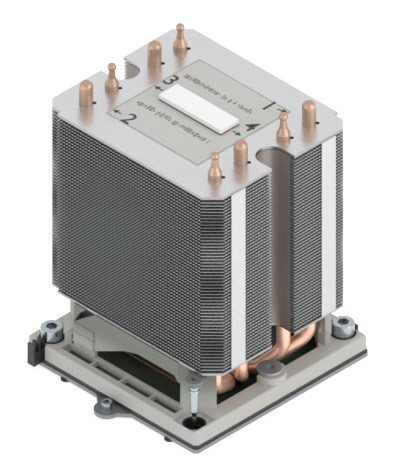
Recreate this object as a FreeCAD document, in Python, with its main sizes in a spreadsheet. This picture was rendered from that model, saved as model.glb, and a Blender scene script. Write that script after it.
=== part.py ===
# Passive server processor heatsink: tower fin stack on four U-shaped heat pipes, carried by a
# cast base frame with captive screws, a plastic carrier and a steel load plate.
# Millimetres, +Z up.  Origin: plan centre, underside of the feet.
# X runs along the heat pipes; the two driver slots are cut into the -X and +X faces.

import FreeCAD, Part
import math
import os

import Sketcher

from FreeCAD import Placement, Rotation, Vector

doc = FreeCAD.newDocument("cpu_heatsink")

# ---------------------------------------------------------------------------------------------
# Driving sizes
# ---------------------------------------------------------------------------------------------

SIZES = [
    # levels, from the bottom up
    ("foot_height", 1.0),
    ("load_plate_thickness", 1.9),
    ("carrier_thickness", 1.9),
    ("frame_height", 7.0),
    ("stack_clearance", 22.2),
    ("stack_height", 92.8),
    # fin stack
    ("stack_length", 102.6),
    ("stack_width", 85.0),
    ("corner_chamfer", 6.6),
    ("driver_chamfer", 4.3),
    ("driver_recess", 2.3),
    ("driver_recess_end", 41.5),
    ("slot_width", 13.6),
    ("slot_depth", 13.9),
    ("top_plate_thickness", 1.5),
    ("end_plate_thickness", 1.2),
    ("fin_thickness", 0.4),
    ("fin_gaps", 55),
    ("collar_wall", 0.45),
    ("collar_clearance", 0.05),
    ("tab_width", 8.3),
    ("tab_inner_edge", 22.9),
    ("tab_thickness", 0.3),
    # heat pipes
    ("pipe_radius", 3.0),
    ("pipe_leg_x", 38.6),
    ("pipe_inner_y", 12.8),
    ("pipe_outer_y", 28.2),
    ("pipe_floor_pitch", 6.6),
    ("pipe_lead_out", 6.2),
    ("pipe_bend_radius", 8.0),
    ("pipe_bend_drop", 16.5),
    ("pipe_end_height", 11.5),
    ("crimp_base_height", 2.4),
    ("crimp_shoulder_radius", 1.65),
    ("crimp_shoulder_height", 5.6),
    ("crimp_neck_radius", 1.3),
    ("crimp_neck_height", 9.6),
    ("crimp_ball_radius", 1.9),
    ("solder_notch_radius", 1.0),
    ("solder_notch_reach", 3.45),
    # cold plate
    ("cold_plate_length", 48.0),
    ("cold_plate_width", 44.0),
    ("cold_plate_thickness", 6.0),
    ("pipe_cover_length", 40.0),
    ("pipe_cover_width", 40.0),
    ("pipe_cover_thickness", 4.4),
    ("cover_screw_x", 16.0),
    ("cover_screw_y", 16.6),
    ("cover_screw_depth", 4.0),
    ("cover_screw_radius", 1.5),
    ("cover_screw_head_radius", 2.6),
    ("cover_screw_head_height", 1.8),
    # base frame
    ("frame_length", 101.7),
    ("frame_width", 103.6),
    ("frame_corner", 1.4),
    ("rim_round", 1.2),
    ("rim_width_x", 8.35),
    ("rim_width_y", 10.8),
    ("window_corner_x", 13.5),
    ("window_corner_y", 11.0),
    ("turret_wall", 2.0),
    ("arch_inset_x", 10.6),
    ("arch_inset_y", 8.5),
    ("arch_beam", 7.4),
    ("arch_corner", 3.0),
    ("arch_ramp_foot", 24.0),
    ("arch_ramp_low", 0.9),
    ("arch_ramp_knee", 0.6),
    ("arch_ramp_top", 6.9),
    ("arch_ramp_drop", 2.2),
    ("trough_length", 68.0),
    ("trough_width", 5.1),
    ("trough_inset", 6.5),
    ("trough_floor", 3.7),
    ("trough_drain", 1.9),
    ("trough_rib", 1.2),
    ("trough_rib_drop", 1.0),
    ("trough_rib_pitch", 17.5),
    ("gusset_width", 13.0),
    ("gusset_wall", 3.0),
    ("gusset_inset", 5.5),
    ("gusset_top_inset", 26.9),
    ("gusset_foot_rise", 5.2),
    ("gusset_lip", 0.4),
    ("pipe_passage_gap", 1.8),
    ("flare_length", 12.0),
    ("flare_step", 0.4),
    ("flare_rise", 4.3),
    ("eye_low", 13.0),
    ("eye_run", 14.0),
    ("eye_width", 6.0),
    ("eye_shoulder_x", 3.0),
    ("eye_shoulder", 5.5),
    ("boss_radius", 7.0),
    ("boss_height", 3.4),
    ("pocket_size", 13.0),
    ("pocket_depth", 2.0),
    ("pin_well_radius", 5.2),
    ("pin_cup_wall", 0.8),
    # captive screws
    ("corner_screw_inset_x", 8.25),
    ("corner_screw_inset_y", 7.0),
    ("corner_head_radius", 4.85),
    ("corner_head_height", 6.6),
    ("corner_seat_depth", 1.6),
    ("corner_socket_radius", 2.6),
    ("corner_socket_depth", 3.2),
    ("mid_screw_inset", 7.35),
    ("mid_head_radius", 5.75),
    ("mid_head_height", 1.6),
    ("mid_socket_radius", 2.0),
    ("mid_socket_depth", 1.1),
    ("head_bevel", 0.4),
    ("shank_radius", 2.0),
    ("shank_clearance", 0.3),
    ("washer_radius", 5.3),
    ("washer_thickness", 0.6),
    ("retainer_radius", 3.4),
    ("retainer_thickness", 0.8),
    ("thread_radius", 1.75),
    ("thread_length", 3.0),
    # guide pins
    ("guide_pin_inset_x", 7.85),
    ("guide_pin_inset_y", 6.8),
    ("pin_body_radius", 1.8),
    ("pin_tip_radius", 1.05),
    ("pin_tip_drop", 1.8),
    ("pin_collar_radius", 2.2),
    ("pin_collar_height", 4.3),
    ("pin_ear_radius", 3.8),
    ("pin_ear_thickness", 2.0),
    ("pin_ear_drop", 1.2),
    ("pin_arm_length", 14.2),
    ("pin_neck_radius", 1.4),
    ("pin_taper_low", 2.0),
    ("pin_taper_high", 4.5),
    # plastic carrier
    ("carrier_setback", 1.0),
    ("comb_inset_x", 7.85),
    ("comb_length", 4.0),
    ("comb_inset_y", 1.6),
    ("comb_depth", 6.8),
    ("comb_base_rise", 4.6),
    ("comb_prong_rise", 4.2),
    ("comb_prong_width", 1.1),
    ("comb_notch_gap", 1.3),
    # steel load plate
    ("plate_margin", 0.35),
    ("plate_window_length", 66.0),
    ("plate_window_width", 60.0),
    ("lug_center_x", 2.0),
    ("lug_overhang", 4.6),
    ("lug_radius", 5.6),
    ("lug_root_width", 21.0),
    ("lug_screw_radius", 1.5),
    ("lug_head_radius", 2.35),
    ("lug_head_height", 3.4),
    ("foot_near_inset", 22.85),
    ("foot_far_inset", 16.85),
    ("foot_inset", 1.1),
    ("foot_radius", 2.4),
    # insulator, label and pad
    ("insulator_thickness", 0.5),
    ("insulator_gap", 0.2),
    ("cold_plate_gap", 0.3),
    ("label_length", 55.0),
    ("label_width", 56.0),
    ("label_thickness", 0.15),
    ("label_y", 0.5),
    ("pad_x", 0.3),
    ("pad_y", 0.5),
    ("pad_length", 37.0),
    ("pad_width", 11.0),
    ("pad_height", 2.6),
    ("pad_film_thickness", 0.3),
    ("joint_gap", 0.05),
    # how far a tool cuts past a face, and how far a piece reaches into the one it joins
    ("overrun", 1.0),
    ("bury", 0.5),
]

sheet = doc.addObject("Spreadsheet::Sheet", "sizes")
for row, (alias, value) in enumerate(SIZES, start=1):
    sheet.set(f"A{row}", alias)
    sheet.set(f"B{row}", str(value))
    sheet.setAlias(f"B{row}", alias)

# Levels and places that follow from the driving sizes.
DERIVED = [
    ("plate_z", "=foot_height"),
    ("carrier_z", "=plate_z + load_plate_thickness"),
    ("frame_z", "=carrier_z + carrier_thickness"),
    ("frame_top", "=frame_z + frame_height"),
    ("stack_z", "=frame_top + stack_clearance"),
    ("stack_top", "=stack_z + stack_height"),
    ("fins_z", "=stack_z + end_plate_thickness"),
    ("fins_height", "=stack_height - end_plate_thickness - top_plate_thickness"),
    ("pipe_floor_z", "=plate_z + cold_plate_thickness"),
    ("seat_z", "=frame_top - corner_seat_depth"),
    ("boss_top", "=frame_top + boss_height"),
    ("window_length", "=frame_length - 2 * rim_width_x"),
    ("window_width", "=frame_width - 2 * rim_width_y"),
    ("arch_end_x", "=window_length / 2 - arch_inset_x"),
    ("arch_end_y", "=window_width / 2 - arch_inset_y"),
    ("trough_y", "=frame_width / 2 - trough_inset"),
    ("corner_screw_x", "=frame_length / 2 - corner_screw_inset_x"),
    ("corner_screw_y", "=frame_width / 2 - corner_screw_inset_y"),
    ("corner_reach", "=sqrt(corner_screw_x * corner_screw_x + corner_screw_y * corner_screw_y)"),
    ("gusset_reach", "=corner_reach - gusset_inset"),
    ("gusset_top_reach", "=corner_reach - gusset_top_inset"),
    ("wall_end_x", "=window_length / 2 - window_corner_x + turret_wall"),
    ("mid_screw_x", "=frame_length / 2 - mid_screw_inset"),
    ("guide_pin_x", "=frame_length / 2 - guide_pin_inset_x"),
    ("guide_pin_y", "=frame_width / 2 - guide_pin_inset_y"),
    ("pin_reach", "=sqrt(guide_pin_x * guide_pin_x + guide_pin_y * guide_pin_y)"),
    ("pin_ear_z", "=stack_z - pin_ear_drop - pin_ear_thickness"),
    ("comb_x", "=frame_length / 2 - comb_inset_x"),
    ("comb_inner_y", "=frame_width / 2 - comb_inset_y"),
    ("comb_notch_x", "=comb_x - comb_length / 2 - comb_notch_gap"),
    ("carrier_window_length", "=window_length + 2 * carrier_setback"),
    ("carrier_window_width", "=window_width + 2 * carrier_setback"),
    ("lug_reach", "=frame_width / 2 + lug_overhang"),
    ("foot_near_x", "=frame_length / 2 - foot_near_inset"),
    ("foot_far_x", "=frame_length / 2 - foot_far_inset"),
    ("foot_y", "=frame_width / 2 - foot_inset"),
]
for row, (alias, formula) in enumerate(DERIVED, start=len(SIZES) + 1):
    sheet.set(f"A{row}", alias)
    sheet.set(f"B{row}", formula)
    sheet.setAlias(f"B{row}", alias)
doc.recompute()


def size(alias):
    """The value of one cell of the sheet."""
    return float(getattr(sheet, alias))


# ---------------------------------------------------------------------------------------------
# Helpers: every one makes document objects whose sizes are bound to the sheet
# ---------------------------------------------------------------------------------------------

ALIASES = sorted((alias for alias, _ in SIZES + DERIVED), key=len, reverse=True)


def bound(formula):
    """A formula in the sheet's aliases, written as FreeCAD's expression engine reads it."""
    words = []
    word = ""
    for sign in str(formula) + " ":
        if sign.isalnum() or sign == "_":
            word += sign
            continue
        words.append("sizes." + word if word in ALIASES else word)
        words.append(sign)
        word = ""
    return "".join(words).strip()


def place(item, x="0", y="0", z="0"):
    """Binds an object's position to three formulas."""
    for axis, formula in zip("xyz", (x, y, z)):
        item.setExpression(f".Placement.Base.{axis}", bound(formula))
    return item


def box(name, length, width, height, x="0", y="0", z="0"):
    """A box centred on x and y that stands on z."""
    item = doc.addObject("Part::Box", name)
    item.setExpression("Length", bound(length))
    item.setExpression("Width", bound(width))
    item.setExpression("Height", bound(height))
    return place(item, f"({x}) - ({length}) / 2", f"({y}) - ({width}) / 2", z)


def cylinder(name, radius, height, x="0", y="0", z="0"):
    """An upright cylinder that stands on z."""
    item = doc.addObject("Part::Cylinder", name)
    item.setExpression("Radius", bound(radius))
    item.setExpression("Height", bound(height))
    return place(item, x, y, z)


def cone(name, low_radius, high_radius, height, x="0", y="0", z="0"):
    """An upright cone that stands on z."""
    item = doc.addObject("Part::Cone", name)
    item.setExpression("Radius1", bound(low_radius))
    item.setExpression("Radius2", bound(high_radius))
    item.setExpression("Height", bound(height))
    return place(item, x, y, z)


def hexagon(name, radius, height, x="0", y="0", z="0"):
    """An upright six-sided prism that stands on z."""
    item = doc.addObject("Part::Prism", name)
    item.Polygon = 6
    item.setExpression("Circumradius", bound(radius))
    item.setExpression("Height", bound(height))
    return place(item, x, y, z)


def fuse(name, items):
    """One solid from several that touch."""
    joined = doc.addObject("Part::MultiFuse", name)
    joined.Shapes = items
    joined.Refine = True
    return joined


def cut(name, base, tools):
    """The base with every tool taken away."""
    tool = tools[0] if len(tools) == 1 else fuse(name + "_tools", tools)
    trimmed = doc.addObject("Part::Cut", name)
    trimmed.Base = base
    trimmed.Tool = tool
    trimmed.Refine = True
    return trimmed


def outline(name, corners, upright=False):
    """A closed sketch of straight lines whose corners are pairs of formulas.

    It lies flat, or upright in the XZ plane.
    """
    sketch = doc.addObject("Sketcher::SketchObject", name)
    values = [(number(across), number(up)) for across, up in corners]
    count = len(values)
    for index in range(count):
        start = Vector(*values[index], 0)
        end = Vector(*values[(index + 1) % count], 0)
        sketch.addGeometry(Part.LineSegment(start, end), False)
    for index in range(count):
        sketch.addConstraint(
            Sketcher.Constraint("Coincident", index, 2, (index + 1) % count, 1))
    for index, (across, up) in enumerate(corners):
        for kind, formula, value in zip(("DistanceX", "DistanceY"), (across, up), values[index]):
            row = sketch.addConstraint(Sketcher.Constraint(kind, -1, 1, index, 1, value))
            sketch.setExpression(f"Constraints[{row}]", bound(formula))
    if upright:
        sketch.Placement = Placement(Vector(), Rotation(Vector(1, 0, 0), 90))
    return sketch


reader = doc.addObject("App::FeaturePython", "reader")


def number(formula):
    """What a formula in the sheet's aliases comes to."""
    result = reader.evalExpression(bound(formula))
    return float(getattr(result, "Value", result))


def prism(name, corners, height, z="0"):
    """An upright prism on z whose plan is a closed outline."""
    sketch = outline(name + "_plan", corners)
    sketch.setExpression(".Placement.Base.z", bound(z))
    solid = doc.addObject("Part::Extrusion", name)
    solid.Base = sketch
    solid.DirMode = "Custom"
    solid.Dir = Vector(0, 0, 1)
    solid.Solid = True
    solid.setExpression("LengthFwd", bound(height))
    return solid


def through(name, corners, length):
    """A level prism along Y, symmetric about the XZ plane that its outline lies in."""
    solid = doc.addObject("Part::Extrusion", name)
    solid.Base = outline(name + "_face", corners, upright=True)
    solid.DirMode = "Custom"
    solid.Dir = Vector(0, 1, 0)
    solid.Solid = True
    solid.Symmetric = True
    solid.setExpression("LengthFwd", bound(length))
    return solid


def octagon(half_x, half_y, corner_x, corner_y):
    """The plan of a rectangle about the origin with its four corners cut off."""
    return [
        (f"-({half_x}) + {corner_x}", f"-({half_y})"),
        (f"({half_x}) - {corner_x}", f"-({half_y})"),
        (half_x, f"-({half_y}) + {corner_y}"),
        (half_x, f"({half_y}) - {corner_y}"),
        (f"({half_x}) - {corner_x}", half_y),
        (f"-({half_x}) + {corner_x}", half_y),
        (f"-({half_x})", f"({half_y}) - {corner_y}"),
        (f"-({half_x})", f"-({half_y}) + {corner_y}"),
    ]


def turned(formula, side):
    """A formula times +1 or -1."""
    return formula if side > 0 else f"-({formula})"


nodes = {}


def finished(item, label):
    """Names one finished sub-part."""
    item.Label = label
    nodes[label] = item
    return item


def solid_node(label, shape):
    """A sub-part whose shape comes from Part's own functions."""
    item = doc.addObject("Part::Feature", label + "_solid")
    item.Shape = shape
    return finished(item, label)


# ---------------------------------------------------------------------------------------------
# The run of the four heat pipes, which the frame and the cold plate make room for
# ---------------------------------------------------------------------------------------------

PIPE_ROWS = (-1.5, -0.5, 0.5, 1.5)


def rounded_path(corners, radius):
    """A wire of straight runs joined by tangent arcs of one radius."""
    edges = []
    start = corners[0]
    for before, corner, after in zip(corners, corners[1:], corners[2:]):
        inward = (before - corner).normalize()
        outward = (after - corner).normalize()
        half_turn = (math.pi - inward.getAngle(outward)) / 2
        setback = radius * math.tan(half_turn)
        middle_direction = (inward + outward).normalize()
        middle = corner + middle_direction * (radius / math.cos(half_turn) - radius)
        entry = corner + inward * setback
        leave = corner + outward * setback
        edges.append(Part.LineSegment(start, entry).toShape())
        edges.append(Part.Arc(entry, middle, leave).toShape())
        start = leave
    edges.append(Part.LineSegment(start, corners[-1]).toShape())
    return Part.Wire(edges)


def pipe_leg_y(row):
    """Where both legs of one pipe stand."""
    outer = abs(PIPE_ROWS[row]) > 1
    return math.copysign(size("pipe_outer_y" if outer else "pipe_inner_y"), PIPE_ROWS[row])


def pipe_run(row, radius):
    """One U: up the -X row, along the cold plate and up the +X row, as a round bar."""
    leg_x = size("pipe_leg_x")
    leg_y = pipe_leg_y(row)
    floor_y = PIPE_ROWS[row] * size("pipe_floor_pitch")
    floor_z = size("pipe_floor_z")
    run = size("cold_plate_length") / 2 + size("pipe_lead_out")
    bend_z = size("stack_z") - size("pipe_bend_drop")
    top = size("stack_top")
    path = rounded_path([Vector(-leg_x, leg_y, top), Vector(-leg_x, leg_y, bend_z),
                         Vector(-run, floor_y, floor_z), Vector(run, floor_y, floor_z),
                         Vector(leg_x, leg_y, bend_z), Vector(leg_x, leg_y, top)],
                        size("pipe_bend_radius"))
    circle = Part.Circle(Vector(-leg_x, leg_y, top), Vector(0, 0, 1), radius)
    return path.makePipeShell([Part.Wire(circle.toShape())], True, True)


# ---------------------------------------------------------------------------------------------
# Steel load plate: window plate with a rounded screw lug in the middle of each long side
# ---------------------------------------------------------------------------------------------

SIDES = ((1, "right"), (-1, "left"))
PIN_SIDES = ((1, "front"), (-1, "back"))


def shank_holes(prefix, radius, z, height):
    """Clear holes for the four captive screws."""
    holes = []
    for side, name in SIDES:
        holes.append(cylinder(f"{prefix}_corner_hole_{name}", radius, height,
                              turned("corner_screw_x", side), turned("corner_screw_y", side), z))
        holes.append(cylinder(f"{prefix}_mid_hole_{name}", radius, height,
                              turned("mid_screw_x", side), "0", z))
    return holes


def pin_wells(prefix, radius, z, height):
    """Tools for the round wells under the two guide pins."""
    return [cylinder(f"{prefix}_pin_well_{name}", radius, height,
                     turned("guide_pin_x", side), turned("guide_pin_y", -side), z)
            for side, name in PIN_SIDES]


def load_plate():
    blank = prism("plate_blank", octagon("frame_length / 2 + plate_margin",
                                         "frame_width / 2 + plate_margin",
                                         "frame_corner", "frame_corner"),
                  "load_plate_thickness", "plate_z")
    parts = [blank]
    tools = [box("plate_window", "plate_window_length", "plate_window_width",
                 "load_plate_thickness + 2 * overrun", "0", "0", "plate_z - overrun")]
    for side, name in SIDES:
        edge = turned("frame_width / 2 + plate_margin", -side)
        inner = turned("frame_width / 2 - overrun", -side)
        reach = turned("lug_reach", -side)
        center = turned("lug_center_x", side)
        parts.append(prism(f"lug_web_{name}", [
            (f"{center} - lug_root_width / 2", inner),
            (f"{center} - lug_root_width / 2", edge),
            (f"{center} - lug_radius", reach),
            (f"{center} + lug_radius", reach),
            (f"{center} + lug_root_width / 2", edge),
            (f"{center} + lug_root_width / 2", inner),
        ], "load_plate_thickness", "plate_z"))
        parts.append(cylinder(f"lug_end_{name}", "lug_radius", "load_plate_thickness",
                              center, reach, "plate_z"))
        tools.append(cylinder(f"lug_hole_{name}", "lug_screw_radius + joint_gap",
                              "load_plate_thickness + 2 * overrun", center, reach,
                              "plate_z - overrun"))
    tools += shank_holes("plate", "retainer_radius + shank_clearance", "plate_z - overrun",
                         "load_plate_thickness + 2 * overrun")
    finished(cut("load_plate_body", fuse("plate_with_lugs", parts), tools), "load_plate")


def lug_screws():
    """A short machine screw in each lug."""
    for side, name in SIDES:
        center = turned("lug_center_x", side)
        reach = turned("lug_reach", -side)
        head_z = "plate_z + load_plate_thickness"
        shank = cylinder(f"lug_shank_{name}", "lug_screw_radius",
                         "load_plate_thickness + bury", center, reach, "plate_z")
        head = cylinder(f"lug_head_{name}", "lug_head_radius", "lug_head_height",
                        center, reach, head_z)
        socket = hexagon(f"lug_socket_{name}", "lug_head_radius / 2", "lug_head_height",
                         center, reach, f"{head_z} + lug_head_height / 2")
        finished(cut(f"lug_screw_body_{name}", fuse(f"lug_screw_blank_{name}", [shank, head]),
                     [socket]), f"lug_screw_{name}")


def feet():
    """Four rubber buttons under the edge of the load plate."""
    buttons = []
    for side, name in SIDES:
        near_y = turned("foot_y", -side)
        buttons.append(cylinder(f"foot_near_{name}", "foot_radius", "foot_height",
                                turned("-foot_near_x", side), near_y))
        buttons.append(cylinder(f"foot_far_{name}", "foot_radius", "foot_height",
                                turned("foot_far_x", side), near_y))
    group = doc.addObject("Part::Compound", "feet_group")
    group.Links = buttons
    finished(group, "feet")


# ---------------------------------------------------------------------------------------------
# Plastic carrier: thin ring between plate and frame, with a latch comb at one corner, a latch
# prong at the opposite one and a cup under each guide pin
# ---------------------------------------------------------------------------------------------

def carrier():
    parts = [prism("carrier_blank", octagon("frame_length / 2", "frame_width / 2",
                                            "frame_corner", "frame_corner"),
                   "carrier_thickness", "carrier_z")]
    parts.append(box("comb_base", "comb_length", "comb_depth",
                     "carrier_thickness + comb_base_rise", "-comb_x",
                     "-(comb_inner_y + comb_depth / 2)", "carrier_z"))
    for prong in range(3):
        offset = f"comb_prong_width / 2 + (comb_depth - comb_prong_width) * {prong} / 2"
        parts.append(box(f"comb_prong_{prong}", "comb_length", "comb_prong_width",
                         "comb_prong_rise + bury", "-comb_x", f"-(comb_inner_y + {offset})",
                         "frame_z + comb_base_rise - bury"))
    parts.append(box("latch_prong", "comb_length", "comb_prong_width",
                     "carrier_thickness + comb_base_rise + comb_prong_rise", "comb_x",
                     "comb_inner_y + comb_prong_width / 2", "carrier_z"))
    for side, name in PIN_SIDES:
        parts.append(cylinder(f"pin_cup_{name}", "pin_well_radius - joint_gap",
                              "carrier_thickness + frame_height - pocket_depth",
                              turned("guide_pin_x", side), turned("guide_pin_y", -side),
                              "carrier_z"))
    tools = [box("carrier_window", "carrier_window_length", "carrier_window_width",
                 "carrier_thickness + 2 * overrun", "0", "0", "carrier_z - overrun")]
    tools += shank_holes("carrier", "retainer_radius + shank_clearance", "carrier_z - overrun",
                         "carrier_thickness + overrun")
    tools += pin_wells("carrier", "pin_well_radius - pin_cup_wall", "frame_z",
                       "frame_height + 2 * overrun")
    finished(cut("carrier_body", fuse("carrier_with_combs", parts), tools), "carrier")


def insulator_sheet():
    """Green sheet that lies on the load plate, inside the carrier, round the cold plate."""
    blank = box("insulator_blank", "carrier_window_length - 2 * insulator_gap",
                "carrier_window_width - 2 * insulator_gap", "insulator_thickness",
                "0", "0", "carrier_z")
    window = box("insulator_window", "cold_plate_length + 2 * cold_plate_gap",
                 "cold_plate_width + 2 * cold_plate_gap", "insulator_thickness + 2 * overrun",
                 "0", "0", "carrier_z - overrun")
    holes = shank_holes("insulator", "retainer_radius + shank_clearance",
                        "carrier_z - overrun", "insulator_thickness + 2 * overrun")
    finished(cut("insulator_body", blank, [window] + holes), "insulator_sheet")


# ---------------------------------------------------------------------------------------------
# Cast base frame: rim, turret walls under the stack, corner gussets and guide-pin ears
# ---------------------------------------------------------------------------------------------

def trough_tools():
    """Two long troughs in the rim, divided by three ribs and drained along the outer side."""
    tools = []
    cells = (("-trough_length / 2", "-trough_rib_pitch - trough_rib / 2"),
             ("-trough_rib_pitch + trough_rib / 2", "-trough_rib / 2"),
             ("trough_rib / 2", "trough_rib_pitch - trough_rib / 2"),
             ("trough_rib_pitch + trough_rib / 2", "trough_length / 2"))
    for side, name in SIDES:
        for row, (low, high) in enumerate(cells):
            tools.append(box(f"trough_{name}_{row}", f"({high}) - ({low})", "trough_width",
                             "frame_height", f"(({high}) + ({low})) / 2",
                             turned("trough_y", side), "frame_z + trough_floor"))
            tools.append(box(f"trough_drain_{name}_{row}", f"({high}) - ({low})", "trough_drain",
                             "frame_height", f"(({high}) + ({low})) / 2",
                             turned("trough_y + (trough_width - trough_drain) / 2", side),
                             "frame_z - overrun"))
        tools.append(box(f"trough_top_{name}", "trough_length", "trough_width",
                         "trough_rib_drop + overrun", "0", turned("trough_y", side),
                         "frame_top - trough_rib_drop"))
    return tools


def seat_tools():
    """Pockets, seats and holes for the screws, the pins and the carrier's combs."""
    tools = shank_holes("frame", "shank_radius + shank_clearance", "frame_z - overrun",
                        "frame_height + boss_height + 2 * overrun")
    tools += pin_wells("frame", "pin_well_radius", "frame_z - overrun",
                       "frame_height + 2 * overrun")
    for side, name in SIDES:
        tools.append(cylinder(f"corner_seat_{name}", "washer_radius + shank_clearance",
                              "corner_seat_depth + overrun", turned("corner_screw_x", side),
                              turned("corner_screw_y", side), "seat_z"))
        tools.append(box(f"comb_notch_{name}", "frame_length", "frame_width",
                         "frame_height + 2 * overrun",
                         turned("comb_notch_x + frame_length / 2", side),
                         turned("comb_inner_y - joint_gap + frame_width / 2", side),
                         "frame_z - overrun"))
    for side, name in PIN_SIDES:
        tools.append(box(f"pin_pocket_{name}", "pocket_size", "pocket_size",
                         "pocket_depth + overrun",
                         turned("guide_pin_x", side), turned("guide_pin_y", -side),
                         "frame_top - pocket_depth"))
    return tools


def diagonal(item, turn, reach, across="0", z="0"):
    """Turns an object about Z and shifts it out along, and across, that direction."""
    angle = math.radians(turn)
    ahead = (round(math.cos(angle), 6), round(math.sin(angle), 6))
    item.Placement = Placement(Vector(), Rotation(Vector(0, 0, 1), turn) * item.Placement.Rotation)
    return place(item, f"({reach}) * ({ahead[0]}) - ({across}) * ({ahead[1]})",
                 f"({reach}) * ({ahead[1]}) + ({across}) * ({ahead[0]})", z)


def arch_opening(side, name):
    """One long side's arch: level under the stack, with a ramp down towards the corner screw."""
    arch = through(f"arch_{name}", [
        (turned("arch_end_x", side), "frame_top"),
        (turned("arch_end_x", side), "frame_top + arch_ramp_low"),
        (turned("arch_ramp_foot", side), "frame_top + arch_ramp_low"),
        (turned("arch_ramp_knee", side), "stack_z - arch_beam - arch_ramp_drop"),
        (turned("-arch_ramp_top", side), "stack_z - arch_beam"),
        (turned("-arch_end_x + arch_corner", side), "stack_z - arch_beam"),
        (turned("-arch_end_x", side), "stack_z - arch_beam - arch_corner"),
        (turned("-arch_end_x", side), "frame_top"),
    ], "window_width")
    return place(arch, "0", turned("window_width / 2", side), "0")


def turret():
    """The walls that stand on the window's edge and carry the fin stack."""
    wall = prism("turret_blank", octagon("window_length / 2 + turret_wall",
                                         "window_width / 2 + turret_wall",
                                         "window_corner_x", "window_corner_y"),
                 "stack_clearance + overrun", "frame_top - overrun")
    arches = [arch_opening(side, name) for side, name in SIDES]
    opening = box("arch_x", "2 * frame_length", "2 * arch_end_y",
                  "stack_clearance + 2 * overrun", "0", "0", "frame_top")
    eyes = [eye_opening(side, name) for side, name in SIDES]
    return cut("turret_walls", wall, arches + eyes + [opening])


def gusset(side, name):
    """A broad web that leans in from beside a corner screw to the stack's underside."""
    turn = 45 if side > 0 else 225
    web = through(f"gusset_web_{name}", [
        ("gusset_reach - gusset_wall", "frame_top - bury"),
        ("gusset_reach", "frame_top - bury"),
        ("gusset_reach", "frame_top + gusset_foot_rise - gusset_lip"),
        ("gusset_reach + gusset_lip", "frame_top + gusset_foot_rise"),
        ("gusset_top_reach", "stack_z"),
        ("gusset_top_reach - gusset_wall", "stack_z"),
        ("gusset_reach - gusset_wall", "frame_top + gusset_foot_rise - gusset_lip"),
    ], "gusset_width")
    return diagonal(web, turn, "0")


def flare(side, name):
    """Three shallow steps that widen the foot of a wall next to its corner screw."""
    return [box(f"flare_{name}_{step}", "flare_length", f"turret_wall + {step + 1} * flare_step",
                f"bury + {3 - step} * flare_rise",
                turned("wall_end_x - flare_length / 2", side),
                turned(f"window_width / 2 + (turret_wall + {step + 1} * flare_step) / 2", side),
                "frame_top - bury") for step in range(3)]


def eye_opening(side, name):
    """A slanting eye in the upper corner of a wall, next to its corner screw."""
    outer = "wall_end_x"
    eye = through(f"eye_{name}", [
        (turned(outer, side), "frame_top + eye_low"),
        (turned(f"{outer} - eye_run", side), "stack_z + overrun"),
        (turned(f"{outer} - eye_run + eye_width", side), "stack_z + overrun"),
        (turned(f"{outer} - eye_shoulder_x", side), "frame_top + eye_low + eye_shoulder"),
    ], "4 * turret_wall")
    return place(eye, "0", turned("(window_width + turret_wall) / 2", side), "0")


def pin_ear(side, name):
    """A level arm from the turret's corner wall to the guide pin."""
    turn = -45 if side > 0 else 135
    arm = box(f"pin_arm_{name}", "pin_arm_length", "2 * pin_ear_radius", "pin_ear_thickness")
    diagonal(arm, turn, "pin_reach - pin_arm_length", "-pin_ear_radius", "pin_ear_z")
    end = cylinder(f"pin_ear_{name}", "pin_ear_radius", "pin_ear_thickness",
                   turned("guide_pin_x", side), turned("guide_pin_y", -side), "pin_ear_z")
    return [arm, end]


def rounded_rim():
    """The rim's block, with its upper outer edges rounded."""
    block = prism("rim_blank", octagon("frame_length / 2", "frame_width / 2",
                                       "frame_corner", "frame_corner"), "frame_height", "frame_z")
    doc.recompute()
    rim = doc.addObject("Part::Fillet", "rim_rounded")
    rim.Base = block
    top = size("frame_top")
    rim.Edges = [(index, size("rim_round"), size("rim_round"))
                 for index, edge in enumerate(block.Shape.Edges, start=1)
                 if all(abs(vertex.Z - top) < size("joint_gap") for vertex in edge.Vertexes)]
    return rim


def base_frame():
    rim = rounded_rim()
    window = prism("window_tool", octagon("window_length / 2", "window_width / 2",
                                          "window_corner_x", "window_corner_y"),
                   "frame_height + stack_clearance + 2 * overrun", "frame_z - overrun")
    parts = [rim, turret()]
    for side, name in SIDES:
        parts += flare(side, name)
        parts.append(cylinder(f"mid_boss_{name}", "boss_radius", "frame_height + boss_height",
                              turned("mid_screw_x", side), "0", "frame_z"))
    hollow = cut("frame_hollow", fuse("frame_blank", parts), [window] + trough_tools())
    webs = [gusset(side, name) for side, name in SIDES]
    ears = []
    for side, name in PIN_SIDES:
        ears += pin_ear(side, name)
    tools = seat_tools()
    for side, name in PIN_SIDES:
        tools.append(cylinder(f"pin_ear_hole_{name}", "pin_neck_radius + joint_gap",
                              "pin_ear_thickness + 2 * overrun", turned("guide_pin_x", side),
                              turned("guide_pin_y", -side),
                              "pin_ear_z - overrun"))
    for row in (0, len(PIPE_ROWS) - 1):
        passage = doc.addObject("Part::Feature", f"pipe_passage_{row}")
        passage.Shape = pipe_run(row, size("pipe_radius") + size("pipe_passage_gap"))
        tools.append(passage)
    finished(cut("frame_body", fuse("frame_with_webs", [hollow] + webs + ears), tools),
             "base_frame")


# ---------------------------------------------------------------------------------------------
# Captive screws, washers, retaining rings and guide pins
# ---------------------------------------------------------------------------------------------

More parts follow.
